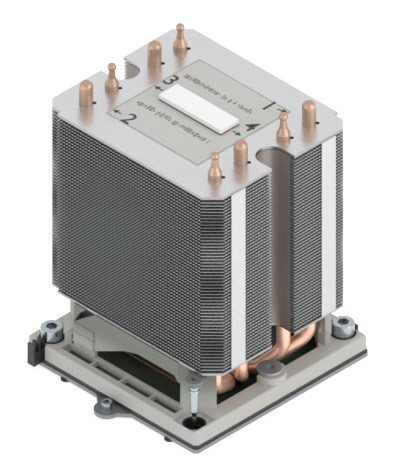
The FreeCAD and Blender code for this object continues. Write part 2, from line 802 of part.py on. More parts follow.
def captive_screw(label, x, y, seat, head_radius, head_height, socket_radius, socket_depth):
    """A cap screw that stands on seat, with its shank down to the height of the feet."""
    shank_z = "foot_height + thread_length"
    thread = cylinder(f"{label}_thread", "thread_radius", "thread_length + bury",
                      x, y, "foot_height")
    shank = cylinder(f"{label}_shank", "shank_radius", f"({seat}) - ({shank_z}) + bury",
                     x, y, shank_z)
    head = cylinder(f"{label}_head", head_radius, f"({head_height}) - head_bevel", x, y, seat)
    bevel = cone(f"{label}_bevel", head_radius, f"({head_radius}) - head_bevel", "head_bevel",
                 x, y, f"({seat}) + ({head_height}) - head_bevel")
    socket = hexagon(f"{label}_socket", socket_radius, f"({socket_depth}) + overrun", x, y,
                     f"({seat}) + ({head_height}) - ({socket_depth})")
    blank = fuse(f"{label}_blank", [thread, shank, head, bevel])
    finished(cut(f"{label}_body", blank, [socket]), label)


def ring(label, radius, bore, thickness, x, y, z):
    """A flat ring that stands on z."""
    disc = cylinder(f"{label}_disc", radius, thickness, x, y, z)
    hole = cylinder(f"{label}_bore", bore, f"({thickness}) + 2 * overrun", x, y,
                    f"({z}) - overrun")
    finished(cut(f"{label}_body", disc, [hole]), label)


def fasteners():
    for count, (side, _) in enumerate(SIDES, start=1):
        x = turned("corner_screw_x", side)
        y = turned("corner_screw_y", side)
        captive_screw(f"corner_screw_{count}", x, y, "seat_z + washer_thickness",
                      "corner_head_radius", "corner_head_height", "corner_socket_radius",
                      "corner_socket_depth")
        ring(f"corner_washer_{count}", "washer_radius", "shank_radius + joint_gap",
             "washer_thickness", x, y, "seat_z")
        ring(f"corner_retainer_{count}", "retainer_radius", "shank_radius + joint_gap",
             "retainer_thickness", x, y, "frame_z - retainer_thickness")
    for count, (side, _) in zip((4, 3), SIDES):
        x = turned("mid_screw_x", side)
        captive_screw(f"mid_screw_{count}", x, "0", "boss_top", "mid_head_radius",
                      "mid_head_height", "mid_socket_radius", "mid_socket_depth")
        ring(f"mid_retainer_{count}", "retainer_radius", "shank_radius + joint_gap",
             "retainer_thickness", x, "0", "frame_z - retainer_thickness")


def guide_pin(side, name):
    """A turned pin: neck riveted in the ear, ribbed collar, body, taper and thin tip."""
    ear_low = size("pin_ear_z")
    ear_high = ear_low + size("pin_ear_thickness")
    tip_z = size("frame_top") - size("pin_tip_drop")
    taper_low = size("frame_top") + size("pin_taper_low")
    taper_high = size("frame_top") + size("pin_taper_high")
    collar_low = ear_low - size("pin_collar_height")
    tip = size("pin_tip_radius")
    body = size("pin_body_radius")
    neck = size("pin_neck_radius")
    collar = size("pin_collar_radius")
    profile = [(0, tip_z), (tip, tip_z), (tip, taper_low), (body, taper_high), (body, collar_low)]
    ribs = 3
    step = size("pin_collar_height") / (2 * ribs - 1)
    for rib in range(ribs):
        low = collar_low + 2 * rib * step
        profile += [(collar, low), (collar, low + step)]
        if rib < ribs - 1:
            profile += [(body, low + step), (body, low + 2 * step)]
    profile += [(neck, ear_low), (neck, ear_high), (0, ear_high)]
    points = [Vector(radius, 0, z) for radius, z in profile]
    face = Part.Face(Part.makePolygon(points + points[:1]))
    shape = face.revolve(Vector(), Vector(0, 0, 1), 360)
    shape.translate(Vector(side * size("guide_pin_x"), -side * size("guide_pin_y"), 0))
    solid_node(f"guide_pin_{name}", shape)


# ---------------------------------------------------------------------------------------------
# Cold plate, pipe cover and heat pipes
# ---------------------------------------------------------------------------------------------

def groove_tools(prefix, length):
    """Four level bores along X, in which the pipes lie side by side."""
    grooves = []
    for row, place_in_row in enumerate(PIPE_ROWS):
        groove = doc.addObject("Part::Cylinder", f"{prefix}_groove_{row}")
        groove.setExpression("Radius", bound("pipe_radius + collar_clearance"))
        groove.setExpression("Height", bound(length))
        groove.Placement = Placement(Vector(), Rotation(Vector(0, 1, 0), 90))
        grooves.append(place(groove, f"-({length}) / 2",
                             f"pipe_floor_pitch * {place_in_row}", "pipe_floor_z"))
    return grooves


def cover_screw_places():
    """The four corners of the pipe cover's screw pattern."""
    return [(f"{x} * cover_screw_x", f"{y} * cover_screw_y") for x in (-1, 1) for y in (-1, 1)]


def cold_plate():
    blank = box("cold_plate_blank", "cold_plate_length", "cold_plate_width",
                "cold_plate_thickness", "0", "0", "plate_z")
    holes = [cylinder(f"cold_plate_thread_{index}", "cover_screw_radius",
                      "cover_screw_depth", x, y, "pipe_floor_z - cover_screw_depth")
             for index, (x, y) in enumerate(cover_screw_places())]
    grooves = groove_tools("cold_plate", "cold_plate_length + 2 * overrun")
    finished(cut("cold_plate_body", blank, grooves + holes), "cold_plate")


def pipe_cover():
    blank = box("pipe_cover_blank", "pipe_cover_length", "pipe_cover_width",
                "pipe_cover_thickness", "0", "0", "pipe_floor_z")
    holes = [cylinder(f"pipe_cover_hole_{index}", "cover_screw_radius + joint_gap",
                      "pipe_cover_thickness + 2 * overrun", x, y, "pipe_floor_z - overrun")
             for index, (x, y) in enumerate(cover_screw_places())]
    grooves = groove_tools("pipe_cover", "pipe_cover_length + 2 * overrun")
    finished(cut("pipe_cover_body", blank, grooves + holes), "pipe_cover")
    screws = []
    for index, (x, y) in enumerate(cover_screw_places()):
        top = "pipe_floor_z + pipe_cover_thickness"
        shank = cylinder(f"cover_shank_{index}", "cover_screw_radius - joint_gap / 2",
                         "pipe_cover_thickness + cover_screw_depth", x, y,
                         "pipe_floor_z - cover_screw_depth")
        head = cylinder(f"cover_head_{index}", "cover_screw_head_radius",
                        "cover_screw_head_height", x, y, top)
        socket = hexagon(f"cover_socket_{index}", "cover_screw_head_radius / 2",
                         "cover_screw_head_height", x, y, f"{top} + cover_screw_head_height / 2")
        screws.append(cut(f"cover_screw_{index}", fuse(f"cover_screw_blank_{index}",
                                                       [shank, head]), [socket]))
    group = doc.addObject("Part::Compound", "cover_screw_group")
    group.Links = screws
    finished(group, "pipe_cover_screws")


def crimped_end():
    """The closed filling end of a pipe: cone, pinched neck and a small bead."""
    radius = size("pipe_radius")
    neck = size("crimp_neck_radius")
    bead = size("crimp_ball_radius")
    neck_z = size("crimp_neck_height")
    bead_z = neck_z + math.sqrt(bead ** 2 - neck ** 2)
    outer = [Vector(0, 0, 0), Vector(radius, 0, 0), Vector(radius, 0, size("crimp_base_height")),
             Vector(size("crimp_shoulder_radius"), 0, size("crimp_shoulder_height")),
             Vector(neck, 0, neck_z)]
    edges = [Part.LineSegment(a, b).toShape() for a, b in zip(outer, outer[1:])]
    top = Vector(0, 0, bead_z + bead)
    edges.append(Part.Arc(outer[-1], Vector(bead, 0, bead_z), top).toShape())
    edges.append(Part.LineSegment(top, outer[0]).toShape())
    return Part.Face(Part.Wire(edges)).revolve(Vector(), Vector(0, 0, 1), 360)


def domed_end():
    """A straight tube closed by half a ball."""
    radius = size("pipe_radius")
    straight = size("pipe_end_height") - radius
    tube = Part.makeCylinder(radius, straight)
    ball = Part.makeSphere(radius, Vector(0, 0, straight), Vector(0, 0, 1), 0, 90)
    return tube.fuse(ball).removeSplitter()


def heat_pipe(row, label):
    """One U with its two closed ends; crimped and domed ends take turns along each side."""
    tube = pipe_run(row, size("pipe_radius"))
    leg_x = size("pipe_leg_x")
    ends = (crimped_end(), domed_end()) if row % 2 else (domed_end(), crimped_end())
    for end, x in zip(ends, (-leg_x, leg_x)):
        end.translate(Vector(x, pipe_leg_y(row), size("stack_top")))
        tube = tube.fuse(end)
    solid_node(label, tube.removeSplitter())


# ---------------------------------------------------------------------------------------------
# Fin stack: end plates, fins drawn over the pipes and the locked tab walls
# ---------------------------------------------------------------------------------------------

def plate_outline():
    """The corner points of every plate and fin, without the two driver slots."""
    half_x = size("stack_length") / 2
    half_y = size("stack_width") / 2
    chamfer = size("corner_chamfer")
    cut_back = size("driver_chamfer")
    recess = size("driver_recess")
    recess_end = size("driver_recess_end")
    front = [(half_x - chamfer, -half_y), (half_x, -half_y + chamfer)]
    right = [(half_x, half_y - recess - cut_back), (half_x - cut_back, half_y - recess),
             (recess_end, half_y - recess), (recess_end, half_y)]
    quarter = front + right
    return quarter + [(-x, -y) for x, y in quarter]


def with_slots(corners):
    """The outline again, with a square-ended driver slot let into each end."""
    half_x = size("stack_length") / 2
    half_slot = size("slot_width") / 2
    inner_x = half_x - size("slot_depth")
    slot = [(half_x, -half_slot), (inner_x, -half_slot), (inner_x, half_slot),
            (half_x, half_slot)]
    opposite = [(-x, -y) for x, y in slot]
    return corners[:2] + slot + corners[2:8] + opposite + corners[8:]


def slab(corners, z, thickness):
    """A flat plate of the given outline that stands on z."""
    points = [Vector(x, y, z) for x, y in corners]
    return Part.Face(Part.makePolygon(points + points[:1])).extrude(Vector(0, 0, thickness))


def leg_places():
    """Where the eight pipe legs pass through the stack."""
    rows = (size("pipe_inner_y"), size("pipe_outer_y"))
    return [Vector(x * size("pipe_leg_x"), y * row, 0)
            for x in (-1, 1) for y in (-1, 1) for row in rows]


def round_slots(z, height):
    """Tools for the driver slots with their round inner ends."""
    half_x = size("stack_length") / 2
    half_slot = size("slot_width") / 2
    center_x = half_x - size("slot_depth") + half_slot
    tools = []
    for side in (-1, 1):
        tools.append(Part.makeCylinder(half_slot, height, Vector(side * center_x, 0, z)))
        run = half_x - center_x + 1
        low_x = center_x if side > 0 else -center_x - run
        tools.append(Part.makeBox(run, 2 * half_slot, height, Vector(low_x, -half_slot, z)))
    return tools


def leg_bores(radius, z, height):
    return [Part.makeCylinder(radius, height, Vector(leg.x, leg.y, z)) for leg in leg_places()]


def end_plate(label, z, thickness, notched):
    """A flat plate with round slots and eight holes, notched for solder on the top plate."""
    radius = size("pipe_radius") + size("collar_clearance")
    tools = round_slots(z - 1, thickness + 2) + leg_bores(radius, z - 1, thickness + 2)
    if notched:
        notch = size("solder_notch_radius")
        offset = size("solder_notch_reach") * math.sqrt(0.5)
        tools += [Part.makeCylinder(notch, thickness + 2,
                                    Vector(leg.x + offset, leg.y + offset, z - 1))
                  for leg in leg_places()]
    solid_node(label, slab(plate_outline(), z, thickness).cut(tools).removeSplitter())


def fin_stack():
    """All the fins with their drawn collars, which stack up into eight tubes."""
    low = size("fins_z")
    height = size("fins_height")
    gaps = int(size("fin_gaps"))
    pitch = height / gaps
    thickness = size("fin_thickness")
    outline_points = with_slots(plate_outline())
    fins = [slab(outline_points, low + pitch * level - thickness / 2, thickness)
            for level in range(1, gaps)]
    collar = 2 * (size("pipe_radius") + size("collar_wall") + size("collar_clearance"))
    collars = [Part.makeBox(collar, collar, height,
                            Vector(leg.x - collar / 2, leg.y - collar / 2, low))
               for leg in leg_places()]
    comb = collars[0].multiFuse(collars[1:] + fins)
    bores = leg_bores(size("pipe_radius") + size("collar_clearance"), low - 1, height + 2)
    solid_node("fin_stack", comb.cut(bores))


def tab_walls():
    """The folded tabs of all fins, locked into four smooth walls on the end faces."""
    walls = []
    for side_x, name_x in ((1, "front"), (-1, "rear")):
        for side_y, name_y in ((1, "right"), (-1, "left")):
            walls.append(box(f"tab_wall_{name_x}_{name_y}", "tab_thickness", "tab_width",
                             "fins_height", turned("(stack_length + tab_thickness) / 2", side_x),
                             turned("tab_inner_edge + tab_width / 2", side_y), "fins_z"))
    group = doc.addObject("Part::Compound", "tab_wall_group")
    group.Links = walls
    finished(group, "fin_tab_walls")


# ---------------------------------------------------------------------------------------------
# Label, foam pad and its film, on the top plate
# ---------------------------------------------------------------------------------------------

def top_dressing():
    finished(box("label_sheet", "label_length", "label_width", "label_thickness",
                 "0", "label_y", "stack_top"), "label")
    finished(box("foam_block", "pad_length", "pad_width", "pad_height",
                 "pad_x", "pad_y", "stack_top + label_thickness"), "foam_pad")
    finished(box("film_sheet", "pad_length", "pad_width", "pad_film_thickness",
                 "pad_x", "pad_y", "stack_top + label_thickness + pad_height"), "pad_film")


# ---------------------------------------------------------------------------------------------
# Build, check and write
# ---------------------------------------------------------------------------------------------

load_plate()
lug_screws()
feet()
carrier()
insulator_sheet()
base_frame()
fasteners()
for pin_side, pin_name in PIN_SIDES:
    guide_pin(pin_side, pin_name)
cold_plate()
pipe_cover()
for pipe_row in range(len(PIPE_ROWS)):
    heat_pipe(pipe_row, f"heat_pipe_{pipe_row + 1}")
end_plate("top_plate", size("stack_top") - size("top_plate_thickness"),
          size("top_plate_thickness"), True)
end_plate("bottom_plate", size("stack_z"), size("end_plate_thickness"), False)
fin_stack()
tab_walls()
top_dressing()
doc.recompute()

for item in doc.Objects:
    if "Invalid" in item.State or "Error" in item.State:
        raise RuntimeError(f"{item.Name} is {item.State}")
for label, item in nodes.items():
    if item.Shape.isNull() or not item.Shape.isValid():
        raise RuntimeError(f"{label} has no valid shape")

os.makedirs("parts", exist_ok=True)
for label, item in nodes.items():
    item.Shape.exportStep(f"parts/{label}.step")
    print(f"{label}: {len(item.Shape.Solids)} solid, {item.Shape.Volume / 1000:.2f} cm3")
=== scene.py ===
# A tower heatsink for a server processor: bright fins on copper heat pipes, over a grey cast frame.
import math
import random

import bmesh
import bpy
from mathutils import Matrix, Vector


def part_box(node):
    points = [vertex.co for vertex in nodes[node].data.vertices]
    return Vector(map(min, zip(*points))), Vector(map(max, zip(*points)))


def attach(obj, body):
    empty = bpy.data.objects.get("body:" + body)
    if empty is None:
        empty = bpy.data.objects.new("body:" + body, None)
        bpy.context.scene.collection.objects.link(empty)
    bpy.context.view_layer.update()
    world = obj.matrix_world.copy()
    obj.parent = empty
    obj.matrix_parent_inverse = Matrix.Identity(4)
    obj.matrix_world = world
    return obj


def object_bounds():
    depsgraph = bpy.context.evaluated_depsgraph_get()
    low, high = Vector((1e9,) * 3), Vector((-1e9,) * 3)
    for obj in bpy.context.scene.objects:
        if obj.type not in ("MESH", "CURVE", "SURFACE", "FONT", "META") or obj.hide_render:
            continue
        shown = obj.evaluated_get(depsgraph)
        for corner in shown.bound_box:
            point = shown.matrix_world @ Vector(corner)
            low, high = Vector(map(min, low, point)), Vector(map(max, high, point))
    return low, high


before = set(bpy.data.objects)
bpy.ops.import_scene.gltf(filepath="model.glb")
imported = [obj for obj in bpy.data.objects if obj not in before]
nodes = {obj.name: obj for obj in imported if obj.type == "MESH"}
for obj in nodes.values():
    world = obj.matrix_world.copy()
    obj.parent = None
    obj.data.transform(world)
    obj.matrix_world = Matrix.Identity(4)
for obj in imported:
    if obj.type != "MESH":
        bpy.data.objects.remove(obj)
cad_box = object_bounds()
BODY = "root"
MM = 0.001


# ------------------------------------------------------------------------------------------------
# Studio: a white floor that runs out of sight, a white room and a parallel-view camera. One soft
# box lights the end face with the right-hand driver slot, and the other the long face in front.
# ------------------------------------------------------------------------------------------------
scene = bpy.context.scene
scene.view_settings.view_transform = "Standard"

FLOOR_REACH = 3.0
FLOOR_COLOR = (0.9, 0.9, 0.9, 1.0)
FLOOR_ROUGHNESS = 0.9
FLOOR_GLOW = 0.55
WHITE = (1.0, 1.0, 1.0, 1.0)
ROOM_LIGHT = 0.88
ROOM_SEEN = 1.0
BOX_SIZE = 0.6
SOFT_BOXES = (("side_box", (0.75, 0.15, 0.35), 2.2),  # name, place in metres and power in watts
              ("front_box", (-0.1, -0.9, 0.25), 1.4))
VIEW_SHIFT = 0.72 * MM
VIEW_DROP = 63.6 * MM
VIEW_HEIGHT = 199.6 * MM
VIEW_DISTANCE = 0.8

lowest, highest = (Vector(corner) for corner in cad_box)
plate_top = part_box("top_plate")[1][2]


def shader(name):
    """A new material, with its node tree and its Principled BSDF."""
    material = bpy.data.materials.new(name)
    material.use_nodes = True
    tree = material.node_tree
    return material, tree, tree.nodes["Principled BSDF"]


def reckon(tree, operation, *values):
    """One math node over sockets or plain numbers."""
    node = tree.nodes.new("ShaderNodeMath")
    node.operation = operation
    for socket, value in zip(node.inputs, values):
        if isinstance(value, (int, float)):
            socket.default_value = value
        else:
            tree.links.new(value, socket)
    return node.outputs[0]


def camera_rays(tree):
    """1 for rays from the camera, mirrors and glass, and 0 for the light that falls on things."""
    path = tree.nodes.new("ShaderNodeLightPath")
    seen = path.outputs["Is Camera Ray"]
    for other in ("Is Glossy Ray", "Is Transmission Ray"):
        seen = reckon(tree, "MAXIMUM", seen, path.outputs[other])
    return seen


def white_floor():
    """A wide plain floor that glows a little where it is seen, so that it stays white."""
    mesh = bpy.data.meshes.new("floor")
    bm = bmesh.new()
    bmesh.ops.create_grid(bm, x_segments=1, y_segments=1, size=FLOOR_REACH)
    bm.to_mesh(mesh)
    bm.free()
    floor = bpy.data.objects.new("floor", mesh)
    scene.collection.objects.link(floor)
    material, tree, bsdf = shader("floor_white")
    bsdf.inputs["Base Color"].default_value = FLOOR_COLOR
    bsdf.inputs["Roughness"].default_value = FLOOR_ROUGHNESS
    bsdf.inputs["Emission Color"].default_value = WHITE
    tree.links.new(reckon(tree, "MULTIPLY", camera_rays(tree), FLOOR_GLOW),
                   bsdf.inputs["Emission Strength"])
    mesh.materials.append(material)


def white_room():
    """An even white world, a little brighter where it is seen than in the light it gives."""
    world = bpy.data.worlds.new("studio")
    scene.world = world
    world.use_nodes = True
    tree = world.node_tree
    background = tree.nodes["Background"]
    background.inputs["Color"].default_value = WHITE
    glow = tree.nodes.new("ShaderNodeMix")
    glow.inputs["A"].default_value = ROOM_LIGHT
    glow.inputs["B"].default_value = ROOM_SEEN
    tree.links.new(camera_rays(tree), glow.inputs["Factor"])
    tree.links.new(glow.outputs["Result"], background.inputs["Strength"])


def soft_box(name, place, aim, power):
    """A square area lamp at place that faces aim."""
    lamp = bpy.data.lights.new(name, "AREA")
    lamp.size = BOX_SIZE
    lamp.energy = power
    holder = bpy.data.objects.new(name, lamp)
    scene.collection.objects.link(holder)
    holder.location = place
    holder.rotation_euler = (aim - Vector(place)).to_track_quat("-Z", "Y").to_euler()


def isometric_camera():
    """Parallel view along a cube's long diagonal."""
    camera = bpy.data.cameras.new("camera")
    camera.type = "ORTHO"
    camera.ortho_scale = VIEW_HEIGHT
    holder = bpy.data.objects.new("camera", camera)
    scene.collection.objects.link(holder)
    away = Vector((1.0, -1.0, 1.0)).normalized()
    view_target = Vector((VIEW_SHIFT, VIEW_SHIFT, plate_top - VIEW_DROP))
    holder.location = view_target + away * VIEW_DISTANCE
    holder.rotation_euler = (-away).to_track_quat("-Z", "Y").to_euler()
    scene.camera = holder


white_floor()
white_room()
for name, place, power in SOFT_BOXES:
    soft_box(name, place, (lowest + highest) / 2, power)
isometric_camera()


# ------------------------------------------------------------------------------------------------
# Load plate, lug screws and feet: the stamped steel plate under everything, zinc plated, with a
# small screw in each lug and four rubber buttons pressed into its underside.
# ------------------------------------------------------------------------------------------------
DRIFT_SCALE = 45.0
BUMP_HEIGHT = 0.2 * MM


def effect_group(name, inputs, outputs):
    """An empty shader node group with its sockets and its two end nodes."""
    group = bpy.data.node_groups.new(name, "ShaderNodeTree")
    for label, kind, value in inputs:
        socket = group.interface.new_socket(label, in_out="INPUT", socket_type=kind)
        socket.default_value = value
    for label, kind in outputs:
        group.interface.new_socket(label, in_out="OUTPUT", socket_type=kind)
    return group, group.nodes.new("NodeGroupInput"), group.nodes.new("NodeGroupOutput")


def surface_grain():
    """Colour drift, roughness drift and a fine bump from two scales of noise."""
    group, inside, out = effect_group(
        "surface_grain",
        [("Color", "NodeSocketColor", (0.8, 0.8, 0.8, 1.0)), ("Drift", "NodeSocketFloat", 0.06),
         ("Roughness", "NodeSocketFloat", 0.4), ("Scale", "NodeSocketFloat", 900.0),
         ("Stretch", "NodeSocketVector", (1.0, 1.0, 1.0)), ("Depth", "NodeSocketFloat", 0.02)],
        [("Color", "NodeSocketColor"), ("Roughness", "NodeSocketFloat"),
         ("Normal", "NodeSocketVector")])
    make, link = group.nodes.new, group.links.new
    place = make("ShaderNodeTexCoord")
    mapping = make("ShaderNodeMapping")
    link(place.outputs["Object"], mapping.inputs["Vector"])
    link(inside.outputs["Stretch"], mapping.inputs["Scale"])
    fine = make("ShaderNodeTexNoise")
    fine.inputs["Detail"].default_value = 3.0
    link(mapping.outputs["Vector"], fine.inputs["Vector"])
    link(inside.outputs["Scale"], fine.inputs["Scale"])
    broad = make("ShaderNodeTexNoise")
    broad.inputs["Scale"].default_value = DRIFT_SCALE
    broad.inputs["Detail"].default_value = 2.0
    link(place.outputs["Object"], broad.inputs["Vector"])
    noise = reckon(group, "ADD", fine.outputs["Fac"], broad.outputs["Fac"])
    centred = reckon(group, "SUBTRACT", noise, 1.0)
    swing = reckon(group, "MULTIPLY_ADD", centred, inside.outputs["Drift"], 1.0)
    shade = make("ShaderNodeVectorMath")
    shade.operation = "SCALE"
    link(inside.outputs["Color"], shade.inputs[0])
    link(swing, shade.inputs["Scale"])
    bump = make("ShaderNodeBump")
    bump.inputs["Distance"].default_value = BUMP_HEIGHT
    link(inside.outputs["Depth"], bump.inputs["Strength"])
    link(fine.outputs["Fac"], bump.inputs["Height"])
    link(shade.outputs[0], out.inputs["Color"])
    link(reckon(group, "MULTIPLY", inside.outputs["Roughness"], swing), out.inputs["Roughness"])
    link(bump.outputs[0], out.inputs["Normal"])
    return group


GRAIN = surface_grain()


def grained(name, color, roughness, metallic=0.0, drift=0.06, scale=900.0, stretch=(1, 1, 1),
            depth=0.1):
    """A finish with the shared grain on one base colour."""
    material, tree, bsdf = shader(name)
    grain = tree.nodes.new("ShaderNodeGroup")
    grain.node_tree = GRAIN
    for label, value in (("Color", (*color, 1.0)), ("Drift", drift), ("Roughness", roughness),
                         ("Scale", scale), ("Stretch", stretch), ("Depth", depth)):
        grain.inputs[label].default_value = value
    tree.links.new(grain.outputs["Color"], bsdf.inputs["Base Color"])
    tree.links.new(grain.outputs["Roughness"], bsdf.inputs["Roughness"])
    tree.links.new(grain.outputs["Normal"], bsdf.inputs["Normal"])
    bsdf.inputs["Metallic"].default_value = metallic
    return material


def dress(material, *names):
    """Gives CAD nodes their finish."""
    for name in names:
        mesh = nodes[name].data
        mesh.materials.clear()
        mesh.materials.append(material)


rolled_steel = grained("rolled_steel", (0.26, 0.265, 0.27), 0.42, metallic=0.8, drift=0.22,
                       scale=700.0, stretch=(1.0, 0.12, 1.0), depth=0.12)
button_rubber = grained("button_rubber", (0.03, 0.03, 0.032), 0.75, drift=0.2)
blue_zinc = grained("blue_zinc", (0.42, 0.46, 0.49), 0.26, metallic=1.0, drift=0.16,
                    scale=1400.0, depth=0.08)
dress(rolled_steel, "load_plate")
dress(button_rubber, "feet")
dress(blue_zinc, "lug_screw_right", "lug_screw_left")


# ------------------------------------------------------------------------------------------------
# Carrier and insulator sheet: a moulded black nylon ring with a latch comb and a latch prong, and
# the dark green sheet that keeps the board's contacts off the steel. The washers and retaining
# rings pushed on the screws' shanks are black nylon too.
# ------------------------------------------------------------------------------------------------
black_nylon = grained("black_nylon", (0.020, 0.021, 0.021), 0.42, drift=0.15, scale=1800.0,
                      depth=0.2)
green_sheet = grained("green_sheet", (0.022, 0.050, 0.028), 0.5, drift=0.2, scale=500.0)
dress(black_nylon, "carrier", "corner_washer_1", "corner_washer_2", "corner_retainer_1",
      "corner_retainer_2", "mid_retainer_3", "mid_retainer_4")
dress(green_sheet, "insulator_sheet")


# ------------------------------------------------------------------------------------------------
# Base frame: one zinc die casting with a satin light grey coat, tumbled so its edges are soft.
# Its turret walls stand up round the pipes and carry the fins, and their coat is painted darker and
# a little greener going up, as shade under the fins. A thin strip of dark sheet in each pocket
# between the ribs of the rim's troughs is painted shade.
# ------------------------------------------------------------------------------------------------
TURRET_SHADE_START = 8.0 * MM
TURRET_SHADE_FULL_DROP = 6.0 * MM
TROUGH_LENGTH = 66.8 * MM
TROUGH_WIDTH = 4.9 * MM
TROUGH_INSET = 6.5 * MM
SHADE_STRIP_RISE = 3.9 * MM
SHADE_STRIP_THICKNESS = 0.15 * MM
RIB_PITCH = 17.5 * MM
RIB_GAP = 1.5 * MM

frame_low, frame_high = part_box("base_frame")


def height_light_and_shade():
    """One colour that turns into another from one level up to the next, for painted light and shade
    by height.
    """
    group, inside, out = effect_group(
        "height_light_and_shade",
        [("Color", "NodeSocketColor", (0.8, 0.8, 0.8, 1.0)),
         ("Tint", "NodeSocketColor", (0.4, 0.4, 0.4, 1.0)),
         ("Low", "NodeSocketFloat", 0.0), ("High", "NodeSocketFloat", 0.1)],
        [("Color", "NodeSocketColor")])
    make, link = group.nodes.new, group.links.new
    place = make("ShaderNodeTexCoord")
    split = make("ShaderNodeSeparateXYZ")
    link(place.outputs["Object"], split.inputs[0])
    rise = make("ShaderNodeMapRange")
    rise.interpolation_type = "SMOOTHSTEP"
    link(inside.outputs["Low"], rise.inputs["From Min"])
    link(inside.outputs["High"], rise.inputs["From Max"])
    link(split.outputs["Z"], rise.inputs["Value"])
    blend = make("ShaderNodeMixRGB")
    link(rise.outputs["Result"], blend.inputs["Fac"])
    link(inside.outputs["Color"], blend.inputs["Color1"])
    link(inside.outputs["Tint"], blend.inputs["Color2"])
    link(blend.outputs["Color"], out.inputs["Color"])
    return group


HEIGHT_LIGHT_AND_SHADE = height_light_and_shade()


def recolor(material, effect, **values):
    """Passes a finish's colour on through one more effect, with these values on its inputs."""
    tree = material.node_tree
    base_color = tree.nodes["Principled BSDF"].inputs["Base Color"]
    node = tree.nodes.new("ShaderNodeGroup")
    node.node_tree = effect
    for label, value in values.items():
        node.inputs[label].default_value = value
    tree.links.new(base_color.links[0].from_socket, node.inputs["Color"])
    tree.links.new(node.outputs["Color"], base_color)


def thicken(bm, thickness):
    """Gives thin sheet its other side and turns all its faces outwards."""
    bmesh.ops.solidify(bm, geom=bm.faces[:], thickness=thickness)
    bmesh.ops.recalc_face_normals(bm, faces=bm.faces[:])


def piece_from(name, bm, material):
    """Turns a bmesh into a piece that rides on the body, with its finish and slot."""
    mesh = bpy.data.meshes.new(name)
    bm.to_mesh(mesh)
    bm.free()
    mesh.materials.append(material)
    piece = bpy.data.objects.new(name, mesh)
    scene.collection.objects.link(piece)
    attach(piece, BODY)


def trough_shade_strips():
    """Thin dark strips lying on the floors of both troughs, one in each pocket between the ribs, as
    painted shade.
    """
    bm = bmesh.new()
    trough_y = frame_high[1] - TROUGH_INSET
    shade_strip_level = frame_low[2] + SHADE_STRIP_RISE
    edges = (-TROUGH_LENGTH / 2, -RIB_PITCH, 0.0, RIB_PITCH, TROUGH_LENGTH / 2)
    for side in (1.0, -1.0):
        for left, right in zip(edges, edges[1:]):
            strip = bmesh.ops.create_grid(bm, x_segments=8, y_segments=2, size=0.5)["verts"]
            bmesh.ops.scale(bm, vec=(right - left - RIB_GAP, TROUGH_WIDTH, 1.0), verts=strip)
            bmesh.ops.translate(bm, verts=strip,
                                vec=((left + right) / 2, side * trough_y, shade_strip_level))
    thicken(bm, SHADE_STRIP_THICKNESS)
    return bm


cast_coat = grained("cast_coat", (0.465, 0.46, 0.435), 0.45, drift=0.07, scale=1100.0, depth=0.25)
# Painted shade: the coat turns darker and a little greener going up the turret walls, under the fin
# stack.
recolor(cast_coat, HEIGHT_LIGHT_AND_SHADE, Low=frame_low[2] + TURRET_SHADE_START,
        High=frame_high[2] - TURRET_SHADE_FULL_DROP, Tint=(0.17, 0.18, 0.155, 1.0))
dress(cast_coat, "base_frame")
# Painted shade: dark strips on the trough floors.
trough_shade_sheet = grained("trough_shade_sheet", (0.040, 0.060, 0.045), 0.5, drift=0.2, scale=500.0)
piece_from("trough_shade_strips", trough_shade_strips(), trough_shade_sheet)


# ------------------------------------------------------------------------------------------------
# Captive screws and guide pins: turned steel, blue zinc plated. The corner screws stand in pockets
# of the frame and the flat-headed middle screws on its bosses, all held by the rings below, and
# the pins hang from ears at the other two corners.
# ------------------------------------------------------------------------------------------------
dress(blue_zinc, "corner_screw_1", "corner_screw_2", "guide_pin_front", "guide_pin_back")
dark_zinc = grained("dark_zinc", (0.36, 0.37, 0.39), 0.42, metallic=0.7, drift=0.2, scale=1400.0)
dress(dark_zinc, "mid_screw_3", "mid_screw_4")


# ------------------------------------------------------------------------------------------------
# Heat pipes and cold plate: drawn copper tube, one end rounded over and the other pinched shut.
# The pipes lie in a milled copper plate, under an aluminium cover held by four screws.
# ------------------------------------------------------------------------------------------------
PIPE_LIGHT_MARGIN = 10.0 * MM

stack_low, stack_high = (Vector(corner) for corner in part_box("fin_stack"))
drawn_copper = grained("drawn_copper", (1.0, 0.62, 0.46), 0.38, metallic=0.8, drift=0.16,
                       scale=600.0, stretch=(1.0, 1.0, 0.1), depth=0.1)
# Painted light: the copper is lighter and pinker low on the pipes, where the bends lie in shade,
# and darker higher up.
recolor(drawn_copper, HEIGHT_LIGHT_AND_SHADE, Low=stack_low.z + PIPE_LIGHT_MARGIN,
        High=stack_high.z - PIPE_LIGHT_MARGIN, Tint=(0.50, 0.33, 0.24, 1.0))
dress(drawn_copper, "heat_pipe_1", "heat_pipe_2", "heat_pipe_3", "heat_pipe_4")
milled_copper = grained("milled_copper", (0.62, 0.36, 0.25), 0.35, metallic=1.0, drift=0.1,
                        stretch=(0.1, 1.0, 1.0))
dress(milled_copper, "cold_plate")
milled_aluminium = grained("milled_aluminium", (0.62, 0.62, 0.62), 0.38, metallic=1.0,
                           stretch=(0.1, 1.0, 1.0))
dress(milled_aluminium, "pipe_cover")
dress(blue_zinc, "pipe_cover_screws")


# ------------------------------------------------------------------------------------------------
# Fin stack: stamped aluminium fins drawn over the pipes, between two thicker end plates. Tabs
# folded down on the short faces lock them together, and the walls of the driver slots are folded
# from the fins too.
# ------------------------------------------------------------------------------------------------
DIMPLE_PITCH = 1.65 * MM
DIMPLE_REACH = 2.6 * MM
DIMPLE_CONTRAST = 0.5
BAND_PITCH = 32.0 * MM
BAND_DROP = 13.5 * MM  # from the top plate down to the middle of the first dark band
BAND_CONTRAST = 0.22
CHAMFER_REACH = 7.0 * MM
END_PAINTED_LIGHT = 0.32
SLOT_RADIUS = 6.65 * MM
SLOT_DEPTH = 13.75 * MM
SLOT_MOUTH_SETBACK = 2.4 * MM
SLOT_WALL_THICKNESS = 0.1 * MM
ROUND_STEPS = 40
NEAR_ZERO = 0.01 * MM


